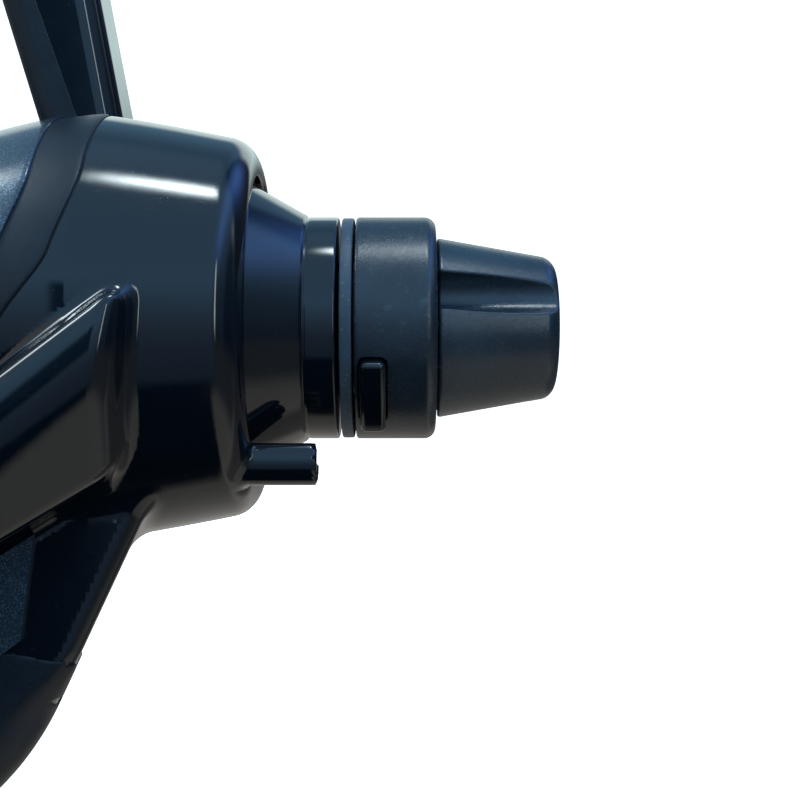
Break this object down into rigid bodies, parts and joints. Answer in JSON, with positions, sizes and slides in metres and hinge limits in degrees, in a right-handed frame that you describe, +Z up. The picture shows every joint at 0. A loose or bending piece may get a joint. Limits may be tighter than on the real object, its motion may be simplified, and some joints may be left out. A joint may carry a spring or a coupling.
{
  "type": "spincast reel",
  "caption": "Closed-face fishing reel hung by a foot, with a rear drag knob, a selector collar, a side crank and a trigger.",
  "frame": {"origin": "middle of the foot's top face", "axes": "+X to the rear, along the spool axis towards the drag knob; +Z up, out of the foot's face; +Y to the far side, away from the crank"},
  "size_m": [0.1484, 0.0929, 0.1454],
  "materials": {
    "gloss_shell": "deep gloss navy black moulding with a clear coat",
    "satin_shell": "satin dark navy, fine grain",
    "metallic_panel": "metallic flake navy blue paint under clear coat",
    "satin_ring": "dark grey satin with fine speckle",
    "collar": "satin dark navy, lightly scuffed",
    "tab": "gloss dark navy",
    "knob": "satin navy with soft sheen",
    "cover_paint": "gloss metallic navy paint",
    "steel": "turned steel",
    "black_steel": "blackened steel screws",
    "brass": "machined brass",
    "zinc": "die cast alloy",
    "felt": "woven friction disc",
    "bushing": "oil-filled bronze",
    "rubber": "soft black rubber",
    "arm": "satin black painted alloy",
    "eyelet": "polished hard chrome",
    "spool_alloy": "anodised aluminium"
  },
  "bodies": {
    "reel_body": {"housing": "gloss_shell", "stem": "gloss_shell", "stem_cover": "satin_shell", "side_cover_near": "satin_shell", "side_cover_far": "satin_shell", "side_panel_near": "metallic_panel", "side_panel_far": "metallic_panel", "lower_panel": "metallic_panel", "rear_guard": "satin_shell", "side_plate": "gloss_shell", "side_plate_screws": "black_steel", "tail_cone": "gloss_shell", "tail_screw": "black_steel", "index_ring": "satin_ring", "front_plate": "gloss_shell", "pinion_bush": "bushing", "roller_clutch": "steel", "crank_bush_near": "bushing", "crank_bush_far": "bushing", "rear_bush": "bushing", "idler_axle": "steel", "idler_clip": "steel", "friction_washers": "felt", "pressure_plate": "steel", "drag_spring": "steel", "trigger_pin": "steel"},
    "crank": {"crank_shaft": "steel", "crank_gear": "zinc", "crank_arm": "arm", "crank_screw": "black_steel", "handle_spindle": "steel"},
    "handle": {"handle_knob": "rubber", "handle_cap": "satin_shell"},
    "idler": {"idler_gear": "zinc", "face_gear": "zinc"},
    "rotor_head": {"rotor": "zinc", "rotor_nut": "steel", "pickup_pins": "steel", "pinion": "brass"},
    "spool_set": {"main_shaft": "steel", "spool": "spool_alloy", "spool_nut": "steel", "keyed_washers": "steel"},
    "knob": {"drag_knob": "knob", "drag_screw": "brass"},
    "nut": {"drag_nut": "brass"},
    "selector": {"selector_collar": "collar", "selector_tab": "tab"},
    "trigger_lever": {"trigger": "satin_shell", "trigger_pad": "rubber"},
    "release": {"release_pin": "steel"},
    "nose_cover": {"front_cover": "cover_paint", "line_eyelet": "eyelet"}
  },
  "joints": [
    {"name": "crank_turn", "type": "hinge", "parent": "reel_body", "child": "crank", "pos_m": [-0.004, 0, -0.092], "axis": [0, 1, 0], "continuous": true},
    {"name": "idler_spin", "type": "hinge", "parent": "reel_body", "child": "idler", "pos_m": [-0.004, 0, -0.066], "axis": [0, 1, 0], "continuous": true},
    {"name": "rotor_spin", "type": "hinge", "parent": "reel_body", "child": "rotor_head", "pos_m": [0, 0, -0.066], "axis": [1, 0, 0], "continuous": true},
    {"name": "handle_spin", "type": "hinge", "parent": "crank", "child": "handle", "pos_m": [-0.004, 0, -0.137], "axis": [0, 1, 0], "continuous": true},
    {"name": "spool_slip", "type": "hinge", "parent": "reel_body", "child": "spool_set", "pos_m": [0, 0, -0.066], "axis": [1, 0, 0], "continuous": true},
    {"name": "drag_turn", "type": "hinge", "parent": "reel_body", "child": "knob", "pos_m": [0.06, 0, -0.066], "axis": [1, 0, 0], "range_deg": [0, 720]},
    {"name": "nut_travel", "type": "slide", "parent": "reel_body", "child": "nut", "axis": [1, 0, 0], "range_m": [0, 0.0016]},
    {"name": "selector_turn", "type": "hinge", "parent": "reel_body", "child": "selector", "pos_m": [0.054, 0, -0.066], "axis": [1, 0, 0], "range_deg": [0, 35]},
    {"name": "trigger_pull", "type": "hinge", "parent": "reel_body", "child": "trigger_lever", "pos_m": [-0.0185, 0, -0.0465], "axis": [0, 1, 0], "range_deg": [0, 15], "stiffness_Nm_per_rad": 0.05, "springref_deg": -2.86},
    {"name": "release_slide", "type": "slide", "parent": "reel_body", "child": "release", "axis": [-1, 0, 0], "range_m": [0, 0.0013]},
    {"name": "cover_twist", "type": "hinge", "parent": "reel_body", "child": "nose_cover", "pos_m": [-0.05, 0, -0.066], "axis": [1, 0, 0], "range_deg": [0, 25]}
  ],
  "couplings": [
    {"joint": "idler_spin", "follows": "crank_turn", "ratio": -2},
    {"joint": "rotor_spin", "follows": "crank_turn", "ratio": -5},
    {"joint": "nut_travel", "follows": "drag_turn", "m_per_rad": 0.00012732},
    {"joint": "release_slide", "follows": "trigger_pull", "m_per_rad": 0.004584}
  ]
}
